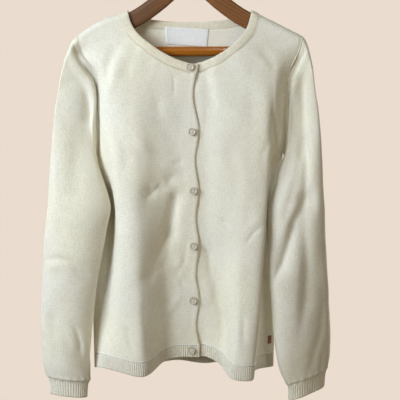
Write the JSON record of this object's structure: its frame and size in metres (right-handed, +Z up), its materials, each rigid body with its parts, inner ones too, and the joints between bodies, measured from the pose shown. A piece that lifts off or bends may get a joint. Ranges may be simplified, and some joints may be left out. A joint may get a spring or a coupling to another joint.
{
  "type": "knitted cardigan on a wooden hanger",
  "caption": "Long-sleeved fine-knit cardigan with a round neck and ribbed hem and cuffs, buttoned up and hung on a wooden hanger with a round lower bar and a wire hook.",
  "frame": {"origin": "inside top of the hanger's hook, where a rail carries it", "axes": "+Z up along the hook's shank, +X towards the garment's left sleeve (right in the picture), -Y out of the buttoned front"},
  "size_m": [0.4256, 0.1, 0.6837],
  "materials": {
    "knit": "fine cream knit",
    "button": "pearly",
    "label": "woven satin",
    "tab": "matt",
    "wood": "stained, satin",
    "varnished_wood": "varnished",
    "steel": "bright"
  },
  "bodies": {
    "root": {"back_panel": "knit", "right_front_panel": "knit", "left_front_panel": "knit", "back_hem_rib": "knit", "right_front_hem_rib": "knit", "left_front_hem_rib": "knit", "right_sleeve": "knit", "left_sleeve": "knit", "right_cuff": "knit", "left_cuff": "knit", "neckband": "knit", "button_1": "button", "button_2": "button", "button_3": "button", "button_4": "button", "button_5": "button", "button_6": "button", "neck_label": "label", "side_tab": "tab", "hanger_arms": "wood", "hanger_bar": "varnished_wood", "hanger_hook": "steel"}
  },
  "joints": []
}
